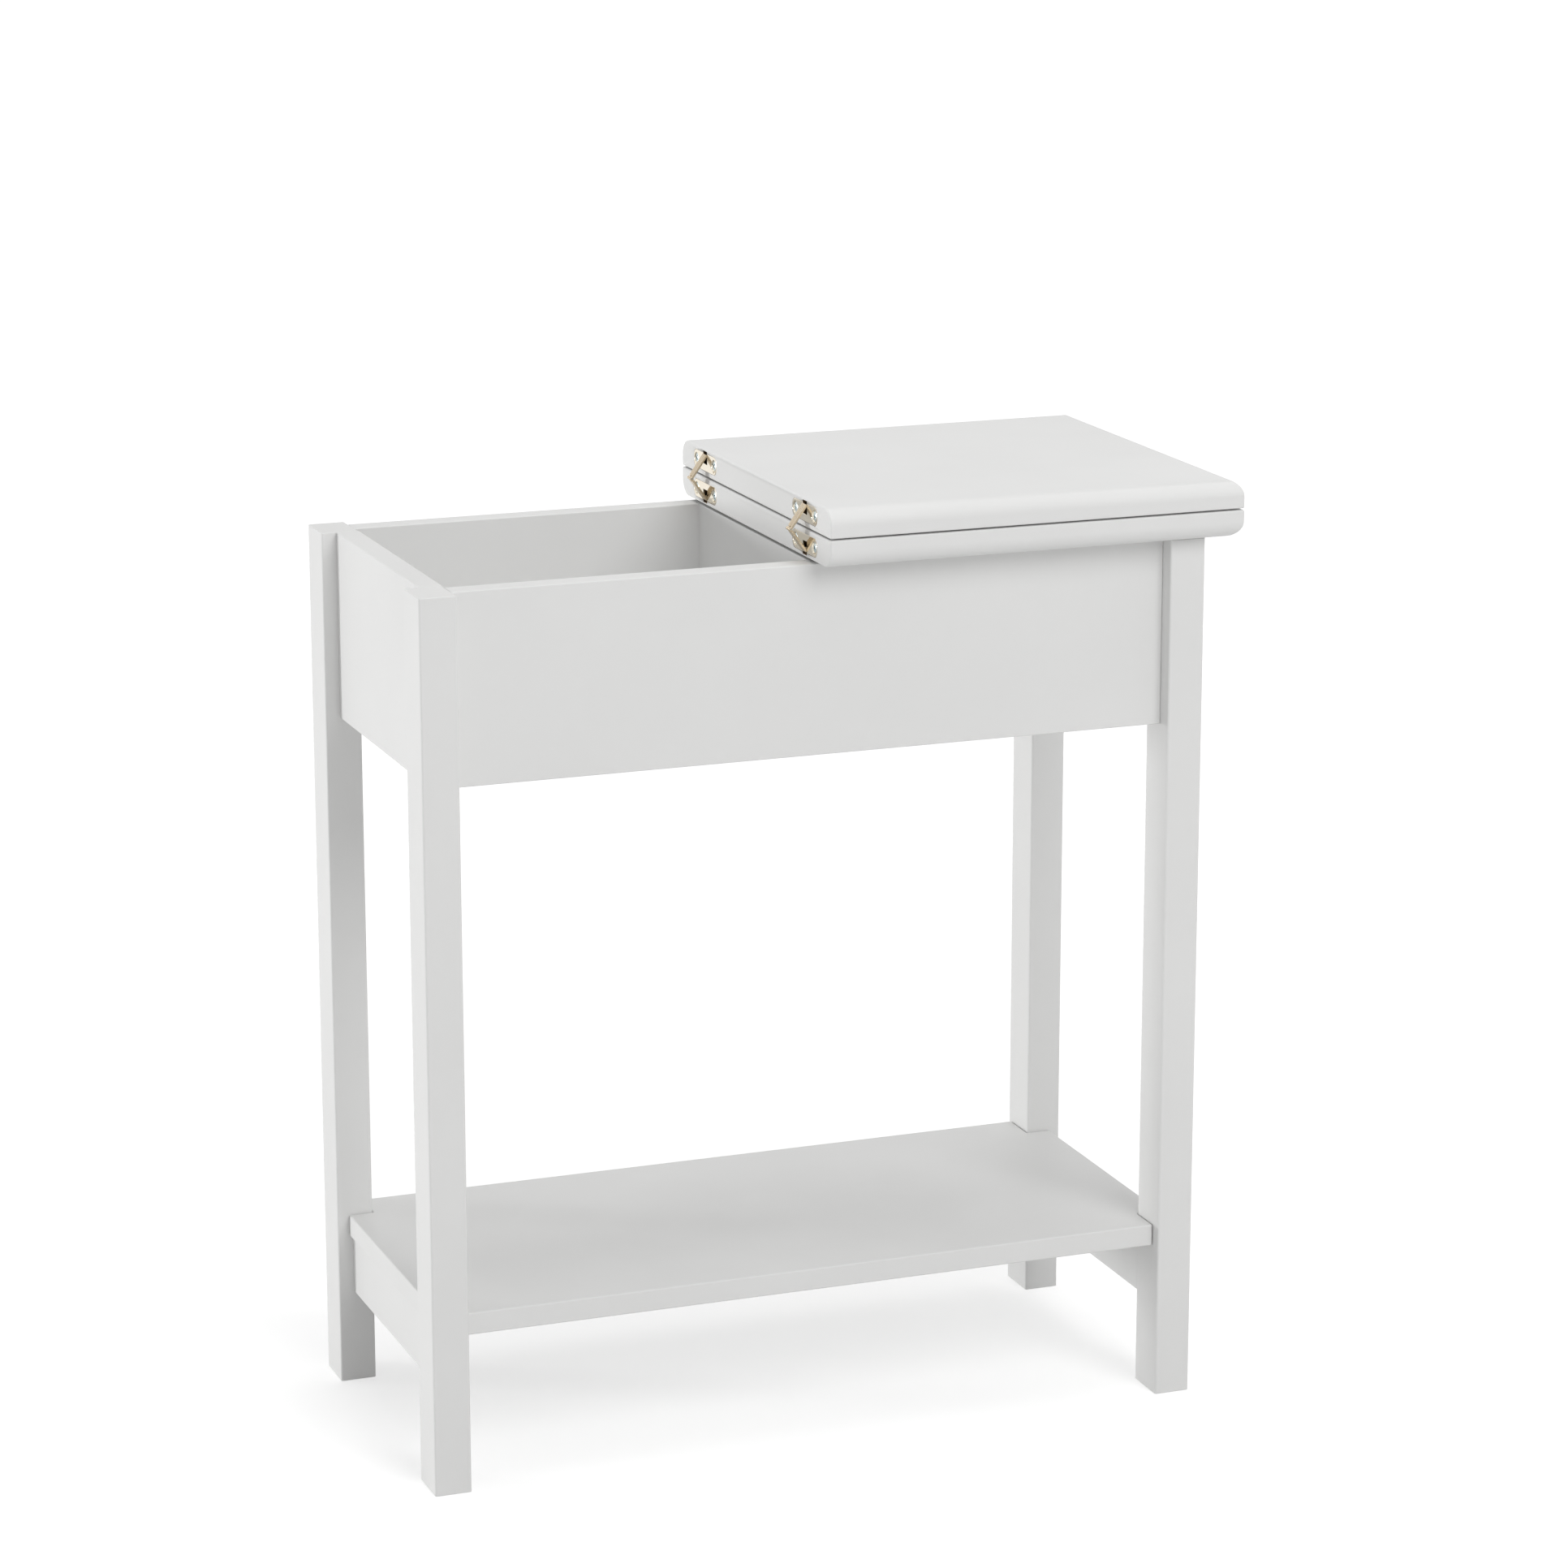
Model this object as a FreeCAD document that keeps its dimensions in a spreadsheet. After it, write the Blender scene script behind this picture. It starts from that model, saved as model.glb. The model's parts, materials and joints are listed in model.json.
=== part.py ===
import FreeCAD, Part
import math
import os
import re

import Sketcher

# Fold-over top end table, in millimetres: X runs to the right, Y to the back and Z up.
# The origin lies on the floor, under the middle of the folded table.
# The left leaf is shown folded over onto the fixed right leaf, on two concealed bar hinges.

Vector = FreeCAD.Vector
Rotation = FreeCAD.Rotation
Constraint = Sketcher.Constraint

doc = FreeCAD.newDocument("fold_over_end_table")

carcaseSizes = {
    "frameLength": 542.5,  # over the legs, left to right
    "frameDepth": 257.5,  # over the legs, front to back
    "legHeight": 600,
    "legWidth": 25,  # left to right
    "legDepth": 33.5,  # front to back
    "legEase": 0.8,  # bevel of the leg's long edges
    "panelHeight": 127,
    "panelThickness": 16,
    "frontRecess": 12,  # front panel behind the front faces of the legs
    "backRecess": 9.5,
    "sideRecess": 10,
    "tenonLength": 8,
    "tenonThickness": 8,
    "tenonShoulder": 14,  # from the foot and the top of a panel
    "trayThickness": 9,
    "trayTongue": 5,  # thickness of the tray's edge, which runs in grooves of the panels
    "trayRise": 6,  # tray above the foot of the panels
    "trayGap": 0.2,  # between the tray's raised field and the panels
    "grooveInBoard": 5,  # depth of the grooves that take the tray and the divider
    "dividerSink": 3,  # divider's foot in the tray
    "dividerSet": 1.25,  # divider's left face, right of the fold line
    "dividerThickness": 16,
    "legGap": 0.5,  # round a leg, in the notches of shelf and tray
}
shelfSizes = {
    "shelfTop": 121,  # above the floor
    "shelfThickness": 15,
    "shelfFrontInset": 8,
    "shelfBackInset": 5,
    "shelfEndInset": 8,
    "railHeight": 41,
    "railThickness": 14,
    "railRecess": 10.5,
    "railTenonThickness": 6,
    "railShoulder": 7,
}
leafSizes = {
    "leafLength": 293,
    "leafDepth": 281,
    "leafThickness": 18,
    "leafRise": 2,  # of the fixed leaf over the rim of the box
    "leafGap": 2.5,  # between the folded leaves
    "foldEdgeSet": 0.25,  # leaf's edge from the fold line
    "rightOverhang": 19.5,
    "frontOverhang": 18,
    "underRounding": 11,
    "cleatWidth": 15,
    "cleatDrop": 15,  # foot of a cleat below the rim of the box
    "cleatLength": 200,
}
fitSizes = {
    "fitGap": 0.05,  # round a pin or a plate
    "endGap": 0.5,  # past the end of a tenon or a cup
}
hingeSizes = {
    "hingeInset": 46,  # hinge's centre from the front or back edge of a leaf
    "plateLength": 45,
    "plateHeight": 12.5,
    "plateThickness": 2.6,
    "plateRounding": 5,
    "blockLength": 26,
    "blockDepth": 22.8,
    "screwSpread": 17,
    "screwHole": 3.6,
    "screwSeatWidth": 8.2,
    "screwSeatDepth": 1.5,
    "apexReach": 10.4,  # apex pin from the fold axis
    "tailInset": 2.4,  # tail pin behind the fold line, folded
    "tailDrop": 14.3,  # tail pin from the fold axis, folded
    "kneeInset": 0.1,
    "armSlope": 55,  # degrees
    "barThickness": 1.5,
    "laminationPitch": 1.8,
    "laminationWidth": 1.5,
    "apexEyeWidth": 2.3,
    "tailEyeWidth": 2.1,
    "pinWidth": 1.2,
    "tailPinLength": 9,
    "armGap": 0.3,  # between an arm and what it passes
    "armSideGap": 0.4,
    "grooveDepth": 1.2,
    "grooveGap": 0.25,
}

# Places worked out from the sizes. In a hinge's own frame the fold axis is the origin.
carcasePlaces = {
    "frameLeft": "-(frameLength + rightOverhang) / 2",
    "frameRight": "frameLeft + frameLength",
    "frameFront": "frontOverhang - leafDepth / 2",
    "frameBack": "frameFront + frameDepth",
    "middleX": "(frameLeft + frameRight) / 2",
    "middleY": "(frameFront + frameBack) / 2",
    "spanLength": "frameLength - 2 * legWidth",
    "spanDepth": "frameDepth - 2 * legDepth",
    "leftInner": "frameLeft + sideRecess + panelThickness",
    "rightInner": "frameRight - sideRecess - panelThickness",
    "frontInner": "frameFront + frontRecess + panelThickness",
    "backInner": "frameBack - backRecess - panelThickness",
    "panelFoot": "legHeight - panelHeight",
    "trayFoot": "panelFoot + trayRise",
    "dividerFoot": "trayFoot + trayThickness - dividerSink",
    "railFoot": "shelfTop - shelfThickness - railHeight",
    "foldLine": "frameRight + rightOverhang - leafLength - foldEdgeSet",
    "foldHeight": "legHeight + leafRise + leafThickness + leafGap / 2",
    "dividerLeft": "foldLine + dividerSet",
    "dividerHeight": "legHeight - dividerFoot",
    "cleatHeight": "cleatDrop + leafRise",
    "cleatMiddle": "(dividerLeft + dividerThickness + rightInner) / 2",
}
hingePlaces = {
    "hingeY": "leafDepth / 2 - hingeInset",
    "leafMiddle": "-(leafGap + leafThickness) / 2",
    "armWidth": "3 * laminationPitch + laminationWidth",
    "tailSide": "apexReach + tailInset",
    "tailReach": "sqrt(tailSide ^ 2 + tailDrop ^ 2)",
    "tailAngle": "atan2(tailDrop; tailSide) / 1 deg",
    "kneeZ": "-(apexReach + kneeInset) * tan(armSlope)",
    "kneeReach": "(apexReach + kneeInset) / cos(armSlope)",
    "shortShare": "(apexEyeWidth / 2 + armGap + barThickness / 2) / kneeReach",
    # the tail pin's way through a cup, as the arc through its first, middle and last place
    "midX": "tailReach * cos(tailAngle / 2) - apexReach * cos(45)",
    "midZ": "-tailReach * sin(tailAngle / 2) - apexReach * sin(45)",
    "firstSquare": "tailInset ^ 2 + tailDrop ^ 2",
    "midSquare": "midX ^ 2 + midZ ^ 2",
    "lastSquare": "tailReach ^ 2 + apexReach ^ 2",
    "arcShare": "2 * (tailInset * (midZ + apexReach) + midX * (tailDrop - apexReach)"
                " - tailReach * (tailDrop + midZ))",
    "grooveX": "(firstSquare * (midZ + apexReach) + midSquare * (tailDrop - apexReach)"
               " - lastSquare * (tailDrop + midZ)) / arcShare",
    "grooveZ": "(firstSquare * (tailReach - midX) + midSquare * (tailInset - tailReach)"
               " + lastSquare * (midX - tailInset)) / arcShare",
    "grooveWidth": "pinWidth + 2 * grooveGap",
    "cavityEnd": "tailReach + tailEyeWidth / 2 + armGap",
    "cavityRoof": "-(apexReach - apexEyeWidth / 2 - armGap)",
    "cavityWidth": "armWidth + 2 * armSideGap",
    "plateFoot": "leafMiddle - plateHeight / 2",
    # the knee hangs lowest about two fifths of the way through the swing
    "lowShare": "2 / 5",
    "armLow": "-(apexReach * sin(90 * lowShare) + kneeReach * sin(armSlope - tailAngle * lowShare)"
              " + barThickness / 2)",
}

nearly = 0.001  # places closer than this count as one
owner = {}  # alias of a cell: name of its sheet


def formula(text):
    return re.sub(r"[A-Za-z]\w*", lambda word: owner.get(word.group(), "") + word.group(), text)


def fillSheet(name, groups):
    sheet = doc.addObject("Spreadsheet::Sheet", name)
    rows = [(alias, content) for group in groups for alias, content in group.items()]
    written = [(alias, "=" + formula(content) if isinstance(content, str) else str(content))
               for alias, content in rows]
    for number, (alias, content) in enumerate(written, start=1):
        sheet.set("A%d" % number, alias)
        sheet.set("B%d" % number, content)
        sheet.setAlias("B%d" % number, alias)
        owner[alias] = name + "."
    doc.recompute()
    return sheet


sizes = fillSheet("sizes", (carcaseSizes, shelfSizes, leafSizes, fitSizes, hingeSizes))
places = fillSheet("places", (carcasePlaces, hingePlaces))


def value(text):
    found = sizes.evalExpression(formula(text))
    return float(getattr(found, "Value", found))


def place(thing, x="0", y="0", z="0", turn=Rotation()):
    thing.Placement = FreeCAD.Placement(Vector(), turn)
    for axis, text in zip("xyz", (x, y, z)):
        thing.setExpression("Placement.Base." + axis, formula(text))


# Sketches: every corner, centre and width is bound to the sheets

def newBody(label):
    body = doc.addObject("PartDesign::Body", label)
    body.Label = label
    body.AllowCompound = True
    return body


def newSketch(body, role, offset="0"):
    sketch = body.newObject("Sketcher::SketchObject", "Sketch")
    origin = next(item for item in body.Origin.OriginFeatures if item.Role == role)
    sketch.AttachmentSupport = [(origin, "")]
    sketch.MapMode = "FlatFace"
    sketch.setExpression("AttachmentOffset.Base.z", formula(offset))
    return sketch


def tie(sketch, text, kind, *picks):
    index = sketch.addConstraint(Constraint(kind, *picks, value(text)))
    sketch.setExpression("Constraints[%d]" % index, formula(text))


def tiePoint(sketch, geometry, point, x, y):
    tie(sketch, x, "DistanceX", -1, 1, geometry, point)
    tie(sketch, y, "DistanceY", -1, 1, geometry, point)


def drawOutline(sketch, corners):
    first = sketch.GeometryCount
    count = len(corners)
    spots = [Vector(value(x), value(y), 0) for x, y in corners]
    sketch.addGeometry([Part.LineSegment(spots[i], spots[(i + 1) % count]) for i in range(count)], False)
    sketch.addConstraint([Constraint("Coincident", first + i, 2, first + (i + 1) % count, 1)
                          for i in range(count)])
    for i, (x, y) in enumerate(corners):
        tiePoint(sketch, first + i, 1, x, y)


def drawRectangle(sketch, left, right, low, high):
    drawOutline(sketch, [(left, low), (right, low), (right, high), (left, high)])


def drawCircle(sketch, x, y, width):
    round = Part.Circle(Vector(value(x), value(y), 0), Vector(0, 0, 1), value(width) / 2)
    index = sketch.addGeometry(round, False)
    tiePoint(sketch, index, 3, x, y)
    tie(sketch, width, "Diameter", index)


def arcAt(x, y, radius, start, end):
    return Part.ArcOfCircle(Part.Circle(Vector(x, y, 0), Vector(0, 0, 1), radius), start, end)


def drawRoundedRectangle(sketch, x, y, width, height, radius):
    first = sketch.GeometryCount
    across, up = value(width) / 2 - value(radius), value(height) / 2 - value(radius)
    quarter = math.pi / 2
    arcs = [arcAt(value(x) + sx * across, value(y) + sy * up, value(radius), (i - 1) * quarter, i * quarter)
            for i, (sx, sy) in enumerate(((1, -1), (1, 1), (-1, 1), (-1, -1)))]
    sketch.addGeometry(arcs, False)
    sketch.addGeometry([Part.LineSegment(arcs[i].EndPoint, arcs[(i + 1) % 4].StartPoint) for i in range(4)],
                       False)
    right, top, left, bottom = range(first + 4, first + 8)
    for i in range(4):
        sketch.addConstraint(Constraint("Tangent", first + i, 2, first + 4 + i, 1))
        sketch.addConstraint(Constraint("Tangent", first + 4 + i, 2, first + (i + 1) % 4, 1))
    for upright in (right, left):
        sketch.addConstraint(Constraint("Vertical", upright))
    for level in (top, bottom):
        sketch.addConstraint(Constraint("Horizontal", level))
    for i in range(1, 4):
        sketch.addConstraint(Constraint("Equal", first, first + i))
    tie(sketch, radius, "Radius", first)
    tie(sketch, "%s + (%s) / 2" % (x, width), "DistanceX", -1, 1, right, 1)
    tie(sketch, "%s - (%s) / 2" % (x, width), "DistanceX", -1, 1, left, 1)
    tie(sketch, "%s + (%s) / 2" % (y, height), "DistanceY", -1, 1, top, 1)
    tie(sketch, "%s - (%s) / 2" % (y, height), "DistanceY", -1, 1, bottom, 1)


def drawLink(sketch, start, end):
    """Two rounds, each (x, y, width), joined by their outer tangents."""
    (ax, ay, ar), (bx, by, br) = [(value(x), value(y), value(width) / 2) for x, y, width in (start, end)]
    along = math.atan2(by - ay, bx - ax)
    lean = math.acos((ar - br) / math.hypot(bx - ax, by - ay))
    first = sketch.GeometryCount
    tail = arcAt(ax, ay, ar, along + lean, along - lean + 2 * math.pi)
    head = arcAt(bx, by, br, along - lean, along + lean)
    sketch.addGeometry([tail, head, Part.LineSegment(tail.EndPoint, head.StartPoint),
                        Part.LineSegment(head.EndPoint, tail.StartPoint)], False)
    for one, point, other, otherPoint in ((0, 2, 2, 1), (2, 2, 1, 1), (1, 2, 3, 1), (3, 2, 0, 1)):
        sketch.addConstraint(Constraint("Tangent", first + one, point, first + other, otherPoint))
    for index, (x, y, width) in ((first, start), (first + 1, end)):
        tiePoint(sketch, index, 3, x, y)
        tie(sketch, "(%s) / 2" % width, "Radius", index)


def drawPinGroove(sketch):
    """Arc-shaped slot round the centre of the tail pin's way."""
    centre = Vector(value("grooveX"), value("grooveZ"), 0)
    ends = [Vector(value("tailInset"), -value("tailDrop"), 0),
            Vector(value("tailReach"), -value("apexReach"), 0)]
    angles = [math.atan2(end.y - centre.y, end.x - centre.x) for end in ends]
    radius = (ends[0] - centre).Length
    half = value("grooveWidth") / 2
    sketch.addGeometry([arcAt(centre.x, centre.y, radius + half, *angles),
                        arcAt(centre.x, centre.y, radius - half, *angles),
                        arcAt(ends[0].x, ends[0].y, half, angles[0] + math.pi, angles[0] + 2 * math.pi),
                        arcAt(ends[1].x, ends[1].y, half, angles[1], angles[1] + math.pi)], False)
    outer, inner, folded, opened = range(4)
    for one, point, other, otherPoint in ((outer, 2, opened, 1), (opened, 2, inner, 2),
                                          (inner, 1, folded, 1), (folded, 2, outer, 1)):
        sketch.addConstraint(Constraint("Tangent", one, point, other, otherPoint))
    tiePoint(sketch, outer, 3, "grooveX", "grooveZ")
    sketch.addConstraint(Constraint("Coincident", inner, 3, outer, 3))
    tiePoint(sketch, folded, 3, "tailInset", "-tailDrop")
    tie(sketch, "grooveWidth / 2", "Radius", folded)
    tie(sketch, "tailReach", "DistanceX", -1, 1, opened, 3)


# Features

def addPad(body, sketch, length, bothWays=False):
    pad = body.newObject("PartDesign::Pad", "Pad")
    pad.Profile = sketch
    pad.SideType = "Symmetric" if bothWays else "One side"
    pad.setExpression("Length", formula(length))
    doc.recompute()


def cutPocket(body, sketch, depth, along=False, bothWays=False, mayMiss=False):
    """Cuts against the sketch's normal, or along it."""
    before = body.Shape.Volume
    pocket = body.newObject("PartDesign::Pocket", "Pocket")
    pocket.Profile = sketch
    pocket.Reversed = along
    pocket.SideType = "Symmetric" if bothWays else "One side"
    pocket.setExpression("Length", formula(depth))
    doc.recompute()
    if not mayMiss and body.Shape.Volume >= before:
        raise RuntimeError("a pocket misses " + body.Label)


def drill(body, role, offset, spots, width, depth, along=False):
    sketch = newSketch(body, role, offset)
    for x, y in spots:
        drawCircle(sketch, x, y, width)
    cutPocket(body, sketch, depth, along)


def dressEdges(body, kind, size, chosen):
    base = body.Tip
    edges = ["Edge%d" % i for i, edge in enumerate(base.Shape.Edges, start=1) if chosen(edge)]
    dressed = body.newObject(kind, "Edges")
    dressed.Base = (base, edges)
    dressed.setExpression("Radius" if kind.endswith("Fillet") else "Size", formula(size))
    doc.recompute()


def boardBody(label, left, right, front, back, height):
    body = newBody(label)
    sketch = newSketch(body, "XY_Plane")
    drawRectangle(sketch, left, right, front, back)
    addPad(body, sketch, height)
    return body


parts = []


def keep(label, thing):
    thing.Label = label
    parts.append(thing)
    return thing


# Boards that run between two legs, along local X, with the outer face at local y = 0.
# A seat is the middle of the outer face and the side that the board closes.
boards = {
    "front_panel": ("middleX", "frameFront + frontRecess", "front"),
    "right_panel": ("frameRight - sideRecess", "middleY", "right"),
    "back_panel": ("middleX", "frameBack - backRecess", "back"),
    "left_panel": ("frameLeft + sideRecess", "middleY", "left"),
    "shelf_rail_right": ("frameRight - railRecess", "middleY", "right"),
    "shelf_rail_left": ("frameLeft + railRecess", "middleY", "left"),
}
recesses = {"front": "frontRecess", "back": "backRecess", "left": "sideRecess", "right": "sideRecess"}


class Board:
    """A board between two legs: where it lies and how its tenons meet the legs."""

    def __init__(self, label):
        self.label = label
        self.x, self.y, side = boards[label]
        self.turn = 90 * ("front", "right", "back", "left").index(side)
        self.isSide = side in ("left", "right")
        self.span = "spanDepth" if self.isSide else "spanLength"
        if label.startswith("shelf_rail"):
            self.height, self.thickness, self.foot = "railHeight", "railThickness", "railFoot"
            self.recess, self.shoulder, self.tenon = "railRecess", "railShoulder", "railTenonThickness"
        else:
            self.height, self.thickness, self.foot = "panelHeight", "panelThickness", "panelFoot"
            self.recess, self.shoulder, self.tenon = recesses[side], "tenonShoulder", "tenonThickness"


def makeBoard(board):
    half = "%s / 2" % board.span
    body = boardBody(board.label, "-" + half, half, "0", board.thickness, board.height)
    tenons = newSketch(body, "XY_Plane", board.shoulder)
    drawRectangle(tenons, "-%s - tenonLength" % half, "%s + tenonLength" % half,
                  "(%s - %s) / 2" % (board.thickness, board.tenon),
                  "(%s + %s) / 2" % (board.thickness, board.tenon))
    addPad(body, tenons, "%s - 2 * %s" % (board.height, board.shoulder))
    place(body, board.x, board.y, board.foot, Rotation(Vector(0, 0, 1), board.turn))
    return body


# Box: panels, tray and divider

def makePanel(label):
    board = Board(label)
    body = makeBoard(board)
    half = "%s / 2" % board.span
    groove = newSketch(body, "XZ_Plane", "-panelThickness")
    drawRectangle(groove, "-" + half, half, "trayRise", "trayRise + trayTongue")
    cutPocket(body, groove, "grooveInBoard", along=True)
    if not board.isSide:
        way = "-" if board.turn else "+"
        dividerX = "%s(dividerLeft + dividerThickness / 2 - middleX)" % way
        housing = newSketch(body, "XZ_Plane", "-panelThickness")
        drawRectangle(housing, dividerX + " - dividerThickness / 2", dividerX + " + dividerThickness / 2",
                      "dividerFoot - panelFoot", "panelHeight")
        cutPocket(body, housing, "grooveInBoard", along=True)
    return keep(label, body)


def notchForLegs(body, thickness):
    sketch = newSketch(body, "XY_Plane")
    for left, right in (("frameLeft - legGap", "frameLeft + legWidth + legGap"),
                        ("frameRight - legWidth - legGap", "frameRight + legGap")):
        for front, back in (("frameFront - legGap", "frameFront + legDepth + legGap"),
                            ("frameBack - legDepth - legGap", "frameBack + legGap")):
            drawRectangle(sketch, left, right, front, back)
    cutPocket(body, sketch, thickness, along=True, mayMiss=True)


def makeTray():
    """Bottom of the box: a thin edge in the panels' grooves, and a raised field with a housing."""
    body = boardBody("tray_bottom", "leftInner - grooveInBoard", "rightInner + grooveInBoard",
                     "frontInner - grooveInBoard", "backInner + grooveInBoard", "trayTongue")
    notchForLegs(body, "trayTongue")
    field = newSketch(body, "XY_Plane")
    drawRectangle(field, "leftInner + trayGap", "rightInner - trayGap", "frontInner + trayGap",
                  "backInner - trayGap")
    addPad(body, field, "trayThickness")
    housing = newSketch(body, "XY_Plane", "trayThickness")
    drawRectangle(housing, "dividerLeft", "dividerLeft + dividerThickness", "frontInner", "backInner")
    cutPocket(body, housing, "dividerSink")
    place(body, z="trayFoot")
    return keep("tray_bottom", body)


def makeDivider():
    body = boardBody("tray_divider", "dividerLeft", "dividerLeft + dividerThickness",
                     "frontInner - grooveInBoard", "backInner + grooveInBoard", "dividerHeight")
    place(body, z="dividerFoot")
    return keep("tray_divider", body)


# Legs

def makeLeg(label, right, back):
    """right and back are -1 for a left or a front leg, and 1 for a right or a back one."""
    body = boardBody(label, "-legWidth / 2", "legWidth / 2", "-legDepth / 2", "legDepth / 2", "legHeight")
    dressEdges(body, "PartDesign::Chamfer", "legEase", lambda edge: edge.Length > value("legHeight") / 2)
    across = "right" if right > 0 else "left"
    meeting = [Board("back_panel" if back > 0 else "front_panel"), Board(across + "_panel"),
               Board("shelf_rail_" + across)]
    for board in meeting:
        if board.isSide:
            mortise = newSketch(body, "XZ_Plane", "%d * legDepth / 2" % back)
            along, way, width = back < 0, right, "legWidth"
        else:
            mortise = newSketch(body, "YZ_Plane", "%d * legWidth / 2" % -right)
            along, way, width = right > 0, back, "legDepth"
        middle = "%d * (%s / 2 - %s - %s / 2)" % (way, width, board.recess, board.thickness)
        drawRectangle(mortise, "%s - %s / 2" % (middle, board.tenon), "%s + %s / 2" % (middle, board.tenon),
                      "%s + %s" % (board.foot, board.shoulder),
                      "%s + %s - %s" % (board.foot, board.height, board.shoulder))
        cutPocket(body, mortise, "tenonLength + endGap", along)
    place(body, "middleX + %d * (frameLength - legWidth) / 2" % right,
          "middleY + %d * (frameDepth - legDepth) / 2" % back)
    return keep(label, body)


# Lower shelf and its rails

def makeShelf():
    body = boardBody("lower_shelf", "frameLeft + shelfEndInset", "frameRight - shelfEndInset",
                     "frameFront + shelfFrontInset", "frameBack - shelfBackInset", "shelfThickness")
    notchForLegs(body, "shelfThickness")
    place(body, z="shelfTop - shelfThickness")
    return keep("lower_shelf", body)


def makeRail(label):
    return keep(label, makeBoard(Board(label)))


# Leaves and cleats

cleatLines = ("frontInner + cleatWidth / 2", "backInner - cleatWidth / 2")


def makeCleat(label, y):
    """Batten glued to the front or the back panel, which carries the fixed leaf."""
    body = boardBody(label, "-cleatLength / 2", "cleatLength / 2", "-cleatWidth / 2", "cleatWidth / 2",
                     "cleatHeight")
    place(body, "cleatMiddle", y, "legHeight - cleatDrop")
    return keep(label, body)


hingeCentres = ("-hingeY", "hingeY")


def makeLeaf(label, folded):
    """Leaf in the frame of the fold axis; the folded one is turned over about X."""
    body = newBody(label)
    sketch = newSketch(body, "XY_Plane", "-leafGap / 2 - leafThickness")
    drawRectangle(sketch, "foldEdgeSet", "foldEdgeSet + leafLength", "-leafDepth / 2", "leafDepth / 2")
    addPad(body, sketch, "leafThickness")
    under = -value("leafGap / 2 + leafThickness")
    inner = value("foldEdgeSet")

    def isUnderEdge(edge):
        box = edge.BoundBox
        return max(abs(box.ZMin - under), abs(box.ZMax - under)) < nearly and box.XMax > inner + nearly

    dressEdges(body, "PartDesign::Fillet", "underRounding", isUnderEdge)
    plates = newSketch(body, "YZ_Plane", "foldEdgeSet")
    blocks = newSketch(body, "YZ_Plane", "foldEdgeSet")
    slots = newSketch(body, "YZ_Plane", "foldEdgeSet")
    for centre in hingeCentres:
        drawRoundedRectangle(plates, centre, "leafMiddle", "plateLength + 2 * fitGap",
                             "plateHeight + 2 * fitGap", "plateRounding + fitGap")
        drawRectangle(blocks, "%s - blockLength / 2 - fitGap" % centre,
                      "%s + blockLength / 2 + fitGap" % centre,
                      "plateFoot - fitGap", "plateFoot + plateHeight + fitGap")
        drawRectangle(slots, "%s - cavityWidth / 2" % centre, "%s + cavityWidth / 2" % centre,
                      "armLow - armGap", "leafMiddle")
    cutPocket(body, plates, "plateThickness", along=True)
    cutPocket(body, blocks, "blockDepth + endGap", along=True)
    cutPocket(body, slots, "cavityEnd", along=True)
    place(body, "foldLine", z="foldHeight", turn=Rotation(Vector(1, 0, 0), 180 if folded else 0))
    return keep(label, body)


# Hinges: each is made in the frame of the fold axis, and its upper half is turned over about X

def seatHinge(thing, centre, upper, x="0", z="0", turn=Rotation()):
    over = Rotation(Vector(1, 0, 0), 180 if upper else 0)
    sign = "-" if upper else "+"
    place(thing, "foldLine + %s" % x, centre, "foldHeight %s (%s)" % (sign, z), over * turn)


def makeCup(label, centre, upper):
    body = newBody(label)
    plate = newSketch(body, "YZ_Plane", "foldEdgeSet")
    drawRoundedRectangle(plate, "0", "leafMiddle", "plateLength", "plateHeight", "plateRounding")
    addPad(body, plate, "plateThickness")
    block = newSketch(body, "YZ_Plane", "foldEdgeSet")
    drawRectangle(block, "-blockLength / 2", "blockLength / 2", "plateFoot", "plateFoot + plateHeight")
    addPad(body, block, "blockDepth")
    cavity = newSketch(body, "XZ_Plane")
    drawRectangle(cavity, "0", "cavityEnd", "plateFoot - armGap", "cavityRoof")
    cutPocket(body, cavity, "cavityWidth", bothWays=True)
    groove = newSketch(body, "XZ_Plane")
    drawPinGroove(groove)
    cutPocket(body, groove, "cavityWidth + 2 * grooveDepth", bothWays=True)
    screws = [("screwSpread", "leafMiddle"), ("-screwSpread", "leafMiddle")]
    drill(body, "YZ_Plane", "foldEdgeSet", screws, "screwHole", "plateThickness", along=True)
    drill(body, "YZ_Plane", "foldEdgeSet", screws, "screwSeatWidth", "screwSeatDepth", along=True)
    seatHinge(body, centre, upper)
    return keep(label, body)


def makeArm(label, centre, upper):
    """Bent bar whose apex end is split into fingers; two arms mesh their fingers on one pin."""
    apex = ("-apexReach", "0", "apexEyeWidth")
    root = ("-apexReach + shortShare * (apexReach + kneeInset)", "shortShare * kneeZ", "barThickness")
    knee = ("kneeInset", "kneeZ", "barThickness")
    tail = ("tailInset", "-tailDrop", "tailEyeWidth")
    body = newBody(label)
    layers = [(root, knee, "0", "armWidth"), (knee, tail, "0", "armWidth")]
    layers += [(apex, root, "(1.5 - %d) * laminationPitch" % number, "laminationWidth") for number in (0, 2)]
    for start, end, offset, width in layers:
        sketch = newSketch(body, "XZ_Plane", offset)
        drawLink(sketch, start, end)
        addPad(body, sketch, width, bothWays=True)
    for (x, y, _), width in ((apex, "pinWidth + 2 * fitGap"), (tail, "pinWidth")):
        hole = newSketch(body, "XZ_Plane")
        drawCircle(hole, x, y, width)
        cutPocket(body, hole, "armWidth", bothWays=True)
    seatHinge(body, centre, upper)
    return keep(label, body)


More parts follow.
